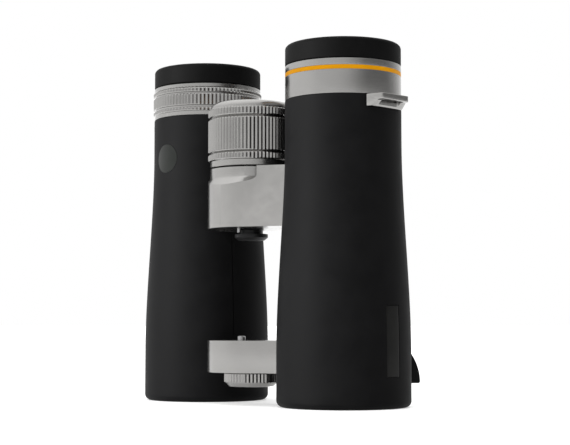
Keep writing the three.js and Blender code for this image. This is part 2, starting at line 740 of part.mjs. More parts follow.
// ---- Assembly ----
function barrel(side) {
  const group = new THREE.Group();
  group.position.set(side.sign * HALF_IPD, 0, 0);
  const own = (name) => `${side.name}_${name}`;
  const frame = side === LEFT ? leftFrame() : rightFrame();
  const fieldCell = side === LEFT ? "left_field_cell" : "right_diopter_cell";
  group.add(
    node(own("frame"), frame, "silver"),
    node(own("armor"), armor(side), "armor"),
    node(own("objective_ring"), objectiveRing(), "black_metal"),
    node(own("objective_lens"), lens(22.3, 8.3, 13.6, 1.6, 1.2), "glass"),
    node(own("focus_cell"), focusCell(side), "black_metal"),
    node(own("focus_lens"), lens(16.9, 57.5, 61.5, 0.3, 1.5), "glass"),
    node(own("prism_holder"), prismHolder(), "black_metal"),
    node(own("prism_a"), prismBlock(PRISM_A), "glass"),
    node(own("prism_b"), prismBlock(PRISM_B), "glass"),
    node(own("eyepiece_tube"), eyepieceTube(), "black_metal"),
    node(fieldCell, ring(12.6, 14.3, 109, 116, FINE_ROUND), "brass"),
    node(own("field_lens"), lens(12.3, 111, 114, 1.5, 1.5), "glass"),
    node(own("eye_lens"), lens(14.3, 131, 136, 2, 0.4), "glass"),
    node(own("strap_lug"), strapLug(side), "silver"),
    node(own("eyecup_sleeve"), eyecupSleeve(), "black_metal"),
    node(own("eyecup"), eyecup(), "eyecup"),
  );
  return group;
}

const leftBarrel = barrel(LEFT);
leftBarrel.add(
  node("left_collar", accentCollar(), "silver"),
  node("left_collar_stripe", accentStripe(), "stripe"),
  node("left_label_plate", labelPlate(), "plate"),
);

const rightBarrel = barrel(RIGHT);
rightBarrel.add(
  node("diopter_ring", diopterRing(), "silver"),
  node("right_badge", badge(), "badge"),
);

const centre = new THREE.Group();
centre.position.set(0, -HINGE_DROP, 0);
centre.add(
  node("focus_wheel", focusWheel(), "silver"),
  node("focus_wheel_cap", focusWheelCap(), "silver"),
  node("focus_spindle", disc(SPINDLE_R, 84.2, 116.6, FINE_ROUND), "steel"),
  node("focus_drive_disc", focusDriveDisc(), "brass"),
  node("upper_hinge_pin", disc(UPPER_PIN_R, 71.6, 83.8, FINE_ROUND), "steel"),
  node("hinge_end_button", hingeEndButton(), "black_metal"),
  node("upper_stop_pin", pinAt(STOP_PIN_AT, STOP_PIN_R, ...STOP_PIN_Z), "steel"),
  node("lower_hinge_pin", lowerHingePin(), "steel"),
  node("lower_dowel_pin", pinAt(DOWEL_AT, DOWEL_R, ...DOWEL_Z), "steel"),
  node("tripod_cap", tripodCap(), "silver"),
  node("tripod_cap_seal", ring(...SEAL_R, ...SEAL_Z), "armor"),
);

const group = new THREE.Group();
group.add(leftBarrel, rightBarrel, centre);

export default group;
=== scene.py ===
"""Open-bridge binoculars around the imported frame: fine meshes and materials for every visible piece.

Pieces are drawn in millimetres in the frame's axes (+Z to the eyepieces, +X to the left barrel,
-Y to the hinge side) and scaled to metres when their mesh is made.
"""
import json
import math

import bmesh
import bpy
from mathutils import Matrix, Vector

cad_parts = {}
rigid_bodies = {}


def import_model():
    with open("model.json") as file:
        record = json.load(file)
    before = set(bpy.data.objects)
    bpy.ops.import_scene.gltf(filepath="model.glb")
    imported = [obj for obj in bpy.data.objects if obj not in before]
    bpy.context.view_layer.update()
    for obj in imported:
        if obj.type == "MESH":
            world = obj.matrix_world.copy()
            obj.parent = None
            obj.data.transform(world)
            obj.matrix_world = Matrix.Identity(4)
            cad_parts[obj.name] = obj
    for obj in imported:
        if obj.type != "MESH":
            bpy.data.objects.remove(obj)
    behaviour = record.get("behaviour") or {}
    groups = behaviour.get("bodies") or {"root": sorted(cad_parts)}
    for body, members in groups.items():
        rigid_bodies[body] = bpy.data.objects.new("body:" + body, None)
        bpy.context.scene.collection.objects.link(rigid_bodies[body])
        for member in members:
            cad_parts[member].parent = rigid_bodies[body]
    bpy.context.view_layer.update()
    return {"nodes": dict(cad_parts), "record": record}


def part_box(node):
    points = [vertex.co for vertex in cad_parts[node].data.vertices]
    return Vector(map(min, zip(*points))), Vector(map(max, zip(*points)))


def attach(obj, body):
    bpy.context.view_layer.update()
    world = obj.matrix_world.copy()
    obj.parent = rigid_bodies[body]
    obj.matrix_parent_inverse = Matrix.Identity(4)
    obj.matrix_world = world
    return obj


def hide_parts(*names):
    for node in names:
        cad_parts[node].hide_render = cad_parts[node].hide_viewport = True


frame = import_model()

MM = 0.001
TURN = 2 * math.pi
SIDES = ("left", "right")


# ---------------------------------------------------------------- places from the frame
def box_mm(node):
    low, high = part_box(node)
    return low / MM, high / MM


def middle(node):
    low, high = box_mm(node)
    return (low + high) / 2


AXIS = {side: middle(f"{side}_eyecup").xy for side in SIDES}
HINGE = middle("focus_wheel").xy
ARM_ANGLE = {side: math.atan2(*(AXIS[side] - HINGE).yx) for side in SIDES}
HINGE_ANGLE = {side: ARM_ANGLE[side] + math.pi for side in SIDES}
OUTWARD = {"left": 0.0, "right": math.pi}

ARMOR_TOP = box_mm("left_armor")[1].z
COLLAR_LOW, COLLAR_HIGH = (c.z for c in box_mm("left_collar"))
COLLAR_R = (box_mm("left_collar")[1].x - box_mm("left_collar")[0].x) / 2
CUP_LOW, CUP_HIGH = (c.z for c in box_mm("left_eyecup"))
WHEEL_LOW, WHEEL_HIGH = (c.z for c in box_mm("focus_wheel"))
WHEEL_R = (box_mm("focus_wheel")[1].x - box_mm("focus_wheel")[0].x) / 2
WHEEL_TOP = box_mm("focus_wheel_cap")[1].z
DIOPTER_R = (box_mm("diopter_ring")[1].y - box_mm("diopter_ring")[0].y) / 2
OBJECTIVE_R = box_mm("left_armor")[1].x - AXIS["left"].x

# Sizes that the frame's boxes don't give, in millimetres.
NECK_R = 23.1
FLARE_START = 20.0
FLARE_END = 105.0
RIM_FLAT_R = 23.9
RIM_RISE = 2.6
LIP_R = 22.7
ARMOR_THICK = 1.6
UPPER = (71.0, 95.25)
LOWER = (13.0, 25.8)
SKIRT_R = 16.9


def barrel_radius(z):
    """The armour's S-shaped flare."""
    t = min(max((z - FLARE_START) / (FLARE_END - FLARE_START), 0.0), 1.0)
    return OBJECTIVE_R - (OBJECTIVE_R - NECK_R) * t * t * (3 - 2 * t)


# ---------------------------------------------------------------- mesh helpers
def make_object(name, bm, material, sharp_deg=32.0):
    """Turns a bmesh in millimetres into a smooth-shaded object in metres, sharp at its edges."""
    bmesh.ops.remove_doubles(bm, verts=bm.verts, dist=1e-4)
    bmesh.ops.dissolve_degenerate(bm, edges=bm.edges, dist=1e-5)
    bmesh.ops.recalc_face_normals(bm, faces=bm.faces)
    bmesh.ops.scale(bm, vec=(MM, MM, MM), verts=bm.verts)
    limit = math.radians(sharp_deg)
    for edge in bm.edges:
        edge.smooth = not (len(edge.link_faces) == 2 and edge.calc_face_angle(0) > limit)
    for face in bm.faces:
        face.smooth = True
    mesh = bpy.data.meshes.new(name)
    bm.to_mesh(mesh)
    bm.free()
    obj = bpy.data.objects.new(name, mesh)
    bpy.context.scene.collection.objects.link(obj)
    if material is not None:
        mesh.materials.append(material)
    return obj


def arc(cx, cy, radius, start, end, steps):
    return [
        (cx + radius * math.cos(start + (end - start) * i / steps),
         cy + radius * math.sin(start + (end - start) * i / steps))
        for i in range(steps + 1)
    ]


def rounded(points, radius, steps=4, skip=()):
    """Replaces each corner of a closed outline by a small arc."""
    out = []
    count = len(points)
    for i, point in enumerate(points):
        here = Vector(point)
        back = Vector(points[i - 1]) - here
        ahead = Vector(points[(i + 1) % count]) - here
        if i in skip or back.length < 1e-6 or ahead.length < 1e-6:
            out.append(point)
            continue
        angle = back.angle(ahead)
        if angle > math.radians(170):
            out.append(point)
            continue
        reach = min(radius / math.tan(angle / 2), back.length * 0.45, ahead.length * 0.45)
        start = here + back.normalized() * reach
        end = here + ahead.normalized() * reach
        for k in range(steps + 1):
            t = k / steps
            bend = start * (1 - t) ** 2 + here * 2 * t * (1 - t) + end * t * t
            out.append((bend.x, bend.y))
    return out


def revolve_mesh(profile, centre, segments=144, radius_of=None, angles=None):
    """A closed (radius, z) outline turned about a vertical axis. radius_of may shape the turn."""
    bm = bmesh.new()
    columns = []
    angles = angles or [TURN * s / segments for s in range(segments)]
    for a in angles:
        column = []
        for r, z in profile:
            rr = radius_of(r, z, a) if radius_of else r
            place = (centre[0] + rr * math.cos(a), centre[1] + rr * math.sin(a), z)
            column.append(bm.verts.new(place))
        columns.append(column)
    count = len(profile)
    for s, here in enumerate(columns):
        after = columns[(s + 1) % len(columns)]
        for i in range(count):
            j = (i + 1) % count
            if profile[i][0] < 1e-6 and profile[j][0] < 1e-6:
                continue
            bm.faces.new((here[i], after[i], after[j], here[j]))
    return bm


def revolve(name, profile, centre, material, corner, segments=144):
    """A turned piece whose corners are rounded by about corner millimetres."""
    outline = rounded(profile, corner) if corner else profile
    return make_object(name, revolve_mesh(outline, centre, segments), material)


def prism_mesh(outline, z0, z1, centre=(0.0, 0.0), turn=0.0):
    bm = bmesh.new()
    c, s = math.cos(turn), math.sin(turn)
    flat = [(centre[0] + x * c - y * s, centre[1] + x * s + y * c) for x, y in outline]
    low = [bm.verts.new((x, y, z0)) for x, y in flat]
    high = [bm.verts.new((x, y, z1)) for x, y in flat]
    bm.faces.new(list(reversed(low)))
    bm.faces.new(high)
    for i in range(len(flat)):
        j = (i + 1) % len(flat)
        bm.faces.new((low[i], low[j], high[j], high[i]))
    return bm


def side_prism_mesh(outline, half_width, centre, turn):
    """A prism from an (outward, z) outline, spread sideways, facing along an angle."""
    bm = bmesh.new()
    c, s = math.cos(turn), math.sin(turn)

    def place(x, y, z):
        return (centre[0] + x * c - y * s, centre[1] + x * s + y * c, z)

    near = [bm.verts.new(place(x, -half_width, z)) for x, z in outline]
    far = [bm.verts.new(place(x, half_width, z)) for x, z in outline]
    bm.faces.new(near)
    bm.faces.new(list(reversed(far)))
    for i in range(len(outline)):
        j = (i + 1) % len(outline)
        bm.faces.new((near[j], near[i], far[i], far[j]))
    return bm


def shell_patch_mesh(centre, angle, half_width, z0, z1, inset, outset, across=8, along=24):
    """A patch of the barrel's skin, from inset below its surface to outset above it."""
    bm = bmesh.new()
    layers = []
    for offset in (-inset, outset):
        grid = []
        for i in range(along + 1):
            z = z0 + (z1 - z0) * i / along
            row = []
            for k in range(across + 1):
                side = half_width * (2 * k / across - 1)
                r = barrel_radius(z) + offset
                a = angle + math.asin(side / r)
                place = (centre[0] + r * math.cos(a), centre[1] + r * math.sin(a), z)
                row.append(bm.verts.new(place))
            grid.append(row)
        layers.append(grid)
    inner, outer = layers
    for i in range(along):
        for k in range(across):
            bm.faces.new((outer[i][k], outer[i][k + 1], outer[i + 1][k + 1], outer[i + 1][k]))
            bm.faces.new((inner[i][k], inner[i + 1][k], inner[i + 1][k + 1], inner[i][k + 1]))
    rim = [(0, k) for k in range(across)]
    rim += [(i, across) for i in range(along)]
    rim += [(along, k) for k in range(across, 0, -1)]
    rim += [(i, 0) for i in range(along, 0, -1)]
    for n, (i, k) in enumerate(rim):
        i2, k2 = rim[(n + 1) % len(rim)]
        bm.faces.new((inner[i][k], inner[i2][k2], outer[i2][k2], outer[i][k]))
    return bm


def temporary(bm):
    """A scratch object in millimetres for a boolean."""
    bmesh.ops.remove_doubles(bm, verts=bm.verts, dist=1e-4)
    bmesh.ops.recalc_face_normals(bm, faces=bm.faces)
    mesh = bpy.data.meshes.new("scratch")
    bm.to_mesh(mesh)
    bm.free()
    obj = bpy.data.objects.new("scratch", mesh)
    bpy.context.scene.collection.objects.link(obj)
    return obj


def combine(base, steps):
    """Applies exact booleans one by one. steps holds (operation, bmesh) pairs."""
    target = temporary(base)
    tools = []
    for operation, bm in steps:
        tool = temporary(bm)
        tools.append(tool)
        modifier = target.modifiers.new("cut", "BOOLEAN")
        modifier.operation = operation
        modifier.solver = "EXACT"
        modifier.object = tool
    return bake(target, tools)


def bake(target, extra=()):
    """Evaluates an object's modifiers into a new bmesh and removes the scratch objects."""
    bpy.context.view_layer.update()
    depsgraph = bpy.context.evaluated_depsgraph_get()
    mesh = bpy.data.meshes.new_from_object(target.evaluated_get(depsgraph))
    bm = bmesh.new()
    bm.from_mesh(mesh)
    bpy.data.meshes.remove(mesh)
    for obj in (target, *extra):
        bpy.data.objects.remove(obj)
    return bm


def bevelled(bm, width, segments=3, angle_deg=40.0):
    """Rounds every edge sharper than the angle."""
    bmesh.ops.remove_doubles(bm, verts=bm.verts, dist=1e-3)
    bmesh.ops.dissolve_limit(
        bm, angle_limit=math.radians(0.5), verts=bm.verts, edges=bm.edges)
    target = temporary(bm)
    modifier = target.modifiers.new("round", "BEVEL")
    modifier.width = width
    modifier.segments = segments
    modifier.limit_method = "ANGLE"
    modifier.angle_limit = math.radians(angle_deg)
    modifier.use_clamp_overlap = True
    modifier.miter_outer = "MITER_ARC"
    return bake(target)


# ---------------------------------------------------------------- materials
def new_material(name):
    material = bpy.data.materials.new(name)
    material.use_nodes = True
    tree = material.node_tree
    return material, tree, tree.nodes["Principled BSDF"]


def add_noise(tree, size_mm, detail=3.0, stretch=(1.0, 1.0, 1.0)):
    """Noise whose features are about size_mm across, fixed to the object."""
    coords = tree.nodes.new("ShaderNodeTexCoord")
    mapping = tree.nodes.new("ShaderNodeMapping")
    mapping.inputs["Scale"].default_value = stretch
    noise = tree.nodes.new("ShaderNodeTexNoise")
    noise.inputs["Scale"].default_value = 1 / (size_mm * MM)
    noise.inputs["Detail"].default_value = detail
    tree.links.new(coords.outputs["Object"], mapping.inputs["Vector"])
    tree.links.new(mapping.outputs["Vector"], noise.inputs["Vector"])
    return noise.outputs["Fac"]


def add_ramp(tree, source, stops):
    ramp = tree.nodes.new("ShaderNodeValToRGB")
    elements = ramp.color_ramp.elements
    while len(elements) < len(stops):
        elements.new(0.5)
    for element, (place, colour) in zip(elements, stops):
        element.position = place
        element.color = (*colour, 1.0)
    tree.links.new(source, ramp.inputs["Fac"])
    return ramp.outputs["Color"]


def add_range(tree, source, low, high):
    node = tree.nodes.new("ShaderNodeMapRange")
    node.inputs["From Min"].default_value = 0.3
    node.inputs["From Max"].default_value = 0.7
    node.inputs["To Min"].default_value = low
    node.inputs["To Max"].default_value = high
    tree.links.new(source, node.inputs["Value"])
    return node.outputs["Result"]


def add_bump(tree, sources, target):
    """Stacks bumps. sources holds (height socket, strength, depth in mm)."""
    previous = None
    for height, strength, depth_mm in sources:
        bump = tree.nodes.new("ShaderNodeBump")
        bump.inputs["Strength"].default_value = strength
        bump.inputs["Distance"].default_value = depth_mm * MM
        tree.links.new(height, bump.inputs["Height"])
        if previous is not None:
            tree.links.new(previous, bump.inputs["Normal"])
        previous = bump.outputs["Normal"]
    tree.links.new(previous, target.inputs["Normal"])


def edge_wear(tree, colour, worn, amount):
    """Lightens exposed edges, broken up by noise."""
    geometry = tree.nodes.new("ShaderNodeNewGeometry")
    edge = tree.nodes.new("ShaderNodeMapRange")
    edge.inputs["From Min"].default_value = 0.53
    edge.inputs["From Max"].default_value = 0.62
    edge.inputs["To Max"].default_value = amount
    tree.links.new(geometry.outputs["Pointiness"], edge.inputs["Value"])
    broken = tree.nodes.new("ShaderNodeMath")
    broken.operation = "MULTIPLY"
    tree.links.new(edge.outputs["Result"], broken.inputs[0])
    tree.links.new(add_noise(tree, 3.0), broken.inputs[1])
    mix = tree.nodes.new("ShaderNodeMix")
    mix.data_type = "RGBA"
    tree.links.new(broken.outputs["Value"], mix.inputs["Factor"])
    tree.links.new(colour, mix.inputs["A"])
    mix.inputs["B"].default_value = (*worn, 1.0)
    return mix.outputs["Result"]


def rubber(name, dark, light, roughness, grain_mm, specular):
    """Matte moulded rubber: fine grain, faint mottling, slightly paler rubbed edges."""
    material, tree, shader = new_material(name)
    mottle = add_noise(tree, 9.0, 4.0)
    grain = add_noise(tree, grain_mm, 2.0)
    colour = add_ramp(tree, mottle, [(0.35, dark), (0.65, light)])
    worn = tuple(min(1.0, c * 2.2) for c in light)
    tree.links.new(edge_wear(tree, colour, worn, 0.5), shader.inputs["Base Color"])
    rough = add_range(tree, mottle, roughness - 0.04, roughness + 0.05)
    tree.links.new(rough, shader.inputs["Roughness"])
    shader.inputs["Specular IOR Level"].default_value = specular
    shader.inputs["Sheen Weight"].default_value = 0.006
    shader.inputs["Sheen Roughness"].default_value = 0.4
    add_bump(tree, [(grain, 0.22, 0.05), (mottle, 0.05, 0.1)], shader)
    return material


METAL_GRAIN_MM = 0.12
# Squeezes a turned piece's tooth along its axis into fine lines round it.
TURNED = (1.0, 1.0, 9.0)


def metal(name, dark, light, roughness, metallic=1.0, brush=(1.0, 1.0, 1.0), specular=0.5):
    """Blasted or turned metal: fine tooth, soft cloudiness, brighter edges."""
    material, tree, shader = new_material(name)
    cloud = add_noise(tree, 12.0, 3.0)
    tooth = add_noise(tree, METAL_GRAIN_MM, 2.0, brush)
    colour = add_ramp(tree, cloud, [(0.35, dark), (0.65, light)])
    worn = tuple(min(1.0, c * 1.25) for c in light)
    tree.links.new(edge_wear(tree, colour, worn, 0.8), shader.inputs["Base Color"])
    rough = add_range(tree, cloud, roughness - 0.012, roughness + 0.015)
    tree.links.new(rough, shader.inputs["Roughness"])
    shader.inputs["Metallic"].default_value = metallic
    shader.inputs["Specular IOR Level"].default_value = specular
    add_bump(tree, [(tooth, 0.10, 0.02)], shader)
    return material


def lacquer(name, dark, light, roughness, specular):
    """A smooth enamel or moulded plastic face with faint orange peel."""
    material, tree, shader = new_material(name)
    cloud = add_noise(tree, 5.0, 3.0)
    peel = add_noise(tree, 0.6, 2.0)
    colour = add_ramp(tree, cloud, [(0.35, dark), (0.65, light)])
    tree.links.new(colour, shader.inputs["Base Color"])
    rough = add_range(tree, cloud, roughness - 0.03, roughness + 0.05)
    tree.links.new(rough, shader.inputs["Roughness"])
    shader.inputs["Specular IOR Level"].default_value = specular
    add_bump(tree, [(peel, 0.08, 0.03)], shader)
    return material


def coated_glass(name):
    """Multi-coated optical glass: green when faced, through blue to violet at a slant."""
    material, tree, shader = new_material(name)
    facing = tree.nodes.new("ShaderNodeLayerWeight")
    facing.inputs["Blend"].default_value = 0.45
    colour = add_ramp(tree, facing.outputs["Facing"], [
        (0.0, (0.45, 0.60, 0.52)), (0.45, (0.38, 0.46, 0.60)), (1.0, (0.44, 0.34, 0.54))])
    tree.links.new(colour, shader.inputs["Base Color"])
    dust = add_noise(tree, 2.0, 5.0)
    tree.links.new(add_range(tree, dust, 0.02, 0.05), shader.inputs["Roughness"])
    shader.inputs["IOR"].default_value = 1.55
    shader.inputs["Transmission Weight"].default_value = 0.94
    shader.inputs["Coat Weight"].default_value = 0.3
    shader.inputs["Coat Roughness"].default_value = 0.02
    return material


RUBBER = rubber(
    "armor_rubber", (0.0031, 0.0031, 0.0033), (0.0043, 0.0043, 0.0045), 0.6,
    grain_mm=0.22, specular=0.045)
CUP_RUBBER = rubber(
    "eyecup_rubber", (0.0027, 0.0027, 0.0027), (0.0038, 0.0038, 0.0038), 0.56,
    grain_mm=0.16, specular=0.03)
SILVER = metal("silver_metal", (0.272, 0.268, 0.261), (0.287, 0.283, 0.275), 0.23)
BLACK_METAL = metal(
    "black_metal", (0.005, 0.005, 0.0055), (0.009, 0.009, 0.0095), 0.45,
    metallic=0.2, specular=0.25)
BRASS = metal("brass", (0.50, 0.35, 0.14), (0.60, 0.44, 0.20), 0.3, brush=TURNED)
STEEL = metal("steel", (0.30, 0.30, 0.30), (0.36, 0.36, 0.36), 0.42, brush=TURNED)
STRIPE = lacquer(
    "accent_enamel", (0.49, 0.208, 0.0008), (0.53, 0.228, 0.001), 0.45, specular=0.05)
BADGE = metal(
    "badge_metal", (0.016, 0.018, 0.016), (0.022, 0.024, 0.022), 0.42,
    metallic=0.5, specular=0.3)
LABEL = lacquer(
    "label_plastic", (0.004, 0.004, 0.0037), (0.006, 0.006, 0.0056), 0.5, specular=0.1)
GLASS = coated_glass("coated_glass")

SLOT_MATERIAL = {
    "armor_rubber": RUBBER,
    "eyecup_rubber": CUP_RUBBER,
    "silver_metal": SILVER,
    "black_metal": BLACK_METAL,
    "brass": BRASS,
    "steel": STEEL,
    "accent_enamel": STRIPE,
    "badge_metal": BADGE,
    "label_plastic": LABEL,
    "coated_glass": GLASS,
}


def dress_frame_nodes():
    """Every CAD node gets its slot's material. Those that a fine piece replaces are hidden later."""
    for part in frame["record"]["subparts"]:
        obj = frame["nodes"][part["node"]]
        obj.data.materials.clear()
        obj.data.materials.append(SLOT_MATERIAL[part["material_slot"]])


def place(obj, body, slot, *nodes):
    """Puts a finished piece on its body, in place of CAD nodes. The slot argument is not used."""
    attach(obj, body)
    if nodes:
        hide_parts(*nodes)


# ---------------------------------------------------------------- armour and inlays
BADGE_R = 6.1
BADGE_Z = 102.6
LABEL_HALF_W = 3.45
LABEL_Z = (12.3, 39.4)
SEAM_Z = (LOWER[1] + 1.5, UPPER[0] - 1.5)
LUG_ROOT_R = 21.6
LUG_FACE_R = 28.2
LUG_ROOT_HALF_W = 9.5
LUG_FACE_HALF_W = 7.4
LUG_TOP = ARMOR_TOP - 0.3
LUG_DEPTH = 4.7
LUG_LIP = 2.2
LUG_GAP = 0.15
LUG_SLOT_R = (23.9, 27.1)
LUG_SLOT_HALF_W = 5.5
SEAM_HALF_W = 0.22
SEAM_DEPTH = 0.35
INLAY_GAP = 0.14
INLAY_DEPTH = 0.55
REST_ANGLE = {"left": math.radians(68), "right": math.radians(112)}
REST_LOW = 8.9
REST_HIGH = 24.8
REST_ROOT = 24.6
REST_REACH = 32.1
REST_HALF_W = 3.2


def armor_profile():
    outer = [(LIP_R + 0.5, 0.0), (RIM_FLAT_R, 0.0)]
    swell = OBJECTIVE_R - RIM_FLAT_R
    for i in range(1, 11):
        a = math.pi / 2 * i / 10
        outer.append((RIM_FLAT_R + swell * math.sin(a), RIM_RISE * (1 - math.cos(a))))
    steps = 40
    low, high = RIM_RISE + 2, ARMOR_TOP - 0.8
    outer += [(barrel_radius(low + (high - low) * i / steps), low + (high - low) * i / steps)
              for i in range(steps + 1)]
    outer += arc(NECK_R - 0.5, ARMOR_TOP - 0.5, 0.5, 0, math.pi / 2, 4)
    inner = [(NECK_R - ARMOR_THICK, ARMOR_TOP)]
    for z in (FLARE_END, 75, 50, FLARE_START, 3):
        inner.append((barrel_radius(z) - ARMOR_THICK, z))
    inner += [(LIP_R, 2.4), (LIP_R, 0.5)]
    return outer + inner


def round_punch(side_z, radius, depth0, depth1, centre):
    """A plug along -Y, for the round badge and its pocket."""
    ring = arc(0, 0, radius, 0, TURN * 63 / 64, 63)
    bm = bmesh.new()
    near = [bm.verts.new((centre[0] + x, centre[1] - depth0, side_z + z)) for x, z in ring]
    far = [bm.verts.new((centre[0] + x, centre[1] - depth1, side_z + z)) for x, z in ring]
    bm.faces.new(near)
    bm.faces.new(list(reversed(far)))
    for i in range(len(ring)):
        j = (i + 1) % len(ring)
        bm.faces.new((near[j], near[i], far[i], far[j]))
    return bm


def lug_plan(grow=0.0):
    """The lug from above. Its pocket in the armour is the same outline, grown all round."""
    return [
        (LUG_ROOT_R - grow, -LUG_ROOT_HALF_W - grow),
        (LUG_FACE_R + grow, -LUG_FACE_HALF_W - grow),
        (LUG_FACE_R + grow, LUG_FACE_HALF_W + grow),
        (LUG_ROOT_R - grow, LUG_ROOT_HALF_W + grow),
    ]


def make_armor(side):
    centre = AXIS[side]
    base = revolve_mesh(armor_profile(), centre, 160)
    notch_low = LUG_TOP - LUG_DEPTH - 0.2
    lug_notch = prism_mesh(lug_plan(LUG_GAP), notch_low, ARMOR_TOP + 1, centre, OUTWARD[side])
    seam = shell_patch_mesh(
        centre, HINGE_ANGLE[side], SEAM_HALF_W, *SEAM_Z, SEAM_DEPTH, 0.5, 2, 30)
    steps = [("DIFFERENCE", lug_notch), ("DIFFERENCE", seam)]
    if side == "left":
        low, high = LABEL_Z
        pocket = shell_patch_mesh(
            centre, 0.0, LABEL_HALF_W + INLAY_GAP, low - INLAY_GAP, high + INLAY_GAP,
            INLAY_DEPTH, 1.0)
        steps.append(("DIFFERENCE", pocket))
    else:
        steps.append(("DIFFERENCE", round_punch(BADGE_Z, BADGE_R + 0.12, NECK_R - 1.5, 30, centre)))
    obj = make_object(f"{side}_armor_skin", combine(base, steps), RUBBER)
    place(obj, f"{side}_barrel", "armor_rubber", f"{side}_armor")


def make_thumb_rest(side):
    """The moulded rest: a fin with an arched outer edge and a flat underside."""
    span = REST_REACH - REST_ROOT
    rise = REST_HIGH - REST_LOW
    edge = [(REST_ROOT, REST_LOW), (REST_REACH, REST_LOW)]
    for i in range(1, 13):
        t = i / 12
        edge.append((REST_ROOT + span * (1 - t ** 2.2), REST_LOW + rise * t))
    bm = side_prism_mesh(edge, REST_HALF_W, AXIS[side], REST_ANGLE[side])
    obj = make_object(f"{side}_thumb_rest", bevelled(bm, 0.7, 4, 50), RUBBER)
    place(obj, f"{side}_barrel", "armor_rubber", f"{side}_armor")


def make_label_plate():
    low, high = LABEL_Z
    bm = shell_patch_mesh(AXIS["left"], 0.0, LABEL_HALF_W, low, high, 0.45, -0.06)
    obj = make_object("left_label_inlay", bevelled(bm, 0.12, 2, 50), LABEL)
    place(obj, "left_barrel", "label_plastic", "left_label_plate")


def make_badge():
    centre = AXIS["right"]
    skin = shell_patch_mesh(
        centre, -math.pi / 2, 8.0, BADGE_Z - 8, BADGE_Z + 8, 1.3, 0.05, 32, 6)
    steps = [("INTERSECT", round_punch(BADGE_Z, BADGE_R, NECK_R - 4, 30, centre))]
    obj = make_object("right_badge_disc", combine(skin, steps), BADGE)
    place(obj, "right_barrel", "badge_metal", "right_badge")


# ---------------------------------------------------------------- eyepiece end
CUP_MOUTH_R = 16.0
CUP_CROWN = 0.4
CUP_ROUND = 1.8
SLEEVE_R = 21.3
TUBE_R = 17.0
TUBE_BORE_R = TUBE_R + 0.4
COLLAR_BORE_R = 21.7
COLLAR_FLOOR = COLLAR_LOW + 1.8
STRIPE_Z = 130.7
STRIPE_HALF = 0.8
DIOPTER_TEETH = 88
DIOPTER_DEPTH = 0.4


def make_eyecup(side):
    r = COLLAR_R
    top = CUP_HIGH + CUP_CROWN
    shelf = box_mm(f"{side}_eyecup_sleeve")[1].z + 0.3
    profile = [
        (SLEEVE_R + 0.3, CUP_LOW + 0.2),
        (SLEEVE_R + 0.6, CUP_LOW),
        (r - 0.3, CUP_LOW),
        (r, CUP_LOW + 0.3),
        *arc(r - CUP_ROUND, top - CUP_ROUND, CUP_ROUND, 0, math.pi / 2, 10),
        (CUP_MOUTH_R + 2.4, top),
        (CUP_MOUTH_R + 1.2, top - 0.35),
        (CUP_MOUTH_R + 0.4, top - 1.0),
        (CUP_MOUTH_R, top - 2.0),
        (CUP_MOUTH_R, shelf),
        (SLEEVE_R + 0.3, shelf),
    ]
    obj = revolve(f"{side}_eyecup_rubber", profile, AXIS[side], CUP_RUBBER, corner=0.2)
    place(obj, f"{side}_eyecup", "eyecup_rubber", f"{side}_eyecup")


def make_sleeve(side):
    """The sliding sleeve, with two detent grooves that show when the cup is up."""
    low, high = (c.z for c in box_mm(f"{side}_eyecup_sleeve"))
    wall = SLEEVE_R - 1.4
    groove = []
    for z in (low + 4.5, low + 8.5):
        groove += [(SLEEVE_R, z - 0.4), (SLEEVE_R - 0.35, z), (SLEEVE_R, z + 0.4)]
    profile = [
        (wall, low), (SLEEVE_R, low), *groove, (SLEEVE_R, high),
        (TUBE_BORE_R, high), (TUBE_BORE_R, high - 2), (wall, high - 2),
    ]
    obj = revolve(f"{side}_cup_sleeve", profile, AXIS[side], BLACK_METAL, corner=0.12)
    place(obj, f"{side}_eyecup_sleeve", "black_metal", f"{side}_eyecup_sleeve")


def make_collar():
    r = COLLAR_R
    deep = r - 0.5
    low, high = STRIPE_Z - STRIPE_HALF - 0.05, STRIPE_Z + STRIPE_HALF + 0.05
    profile = [
        (TUBE_BORE_R, COLLAR_LOW), (r, COLLAR_LOW), (r, low), (deep, low), (deep, high),
        (r, high), (r, COLLAR_HIGH), (COLLAR_BORE_R, COLLAR_HIGH), (COLLAR_BORE_R, COLLAR_FLOOR),
        (TUBE_BORE_R, COLLAR_FLOOR),
    ]
    obj = revolve("left_collar_ring", profile, AXIS["left"], SILVER, corner=0.1)
    place(obj, "left_barrel", "silver_metal", "left_collar")
    band = [(deep + 0.05, low + 0.05), (r - 0.02, low + 0.05), (r - 0.02, high - 0.05),
            (deep + 0.05, high - 0.05)]
    stripe = revolve("left_stripe_ring", band, AXIS["left"], STRIPE, corner=0.08)
    place(stripe, "left_barrel", "accent_enamel", "left_collar_stripe")


# A knurl's teeth are V-shaped, with this much of the pitch flat at each crest and valley.
TOOTH_FLAT = 0.05
CHAMFER_RISE = 0.35
KNURL_SHARP_DEG = 22
TOOTH_STEPS = (-TOOTH_FLAT / 2, TOOTH_FLAT / 2, 0.5 - TOOTH_FLAT / 2, 0.5 + TOOTH_FLAT / 2)


def tooth_angles(teeth):
    return [TURN * (tooth + step) / teeth for tooth in range(teeth) for step in TOOTH_STEPS]


def tooth_fall(angle, teeth):
    """0 on a crest and 1 in a valley."""
    phase = abs((angle * teeth / TURN + 0.5) % 1 - 0.5)
    return min(1.0, max(0.0, (2 * phase - TOOTH_FLAT) / (1 - 2 * TOOTH_FLAT)))


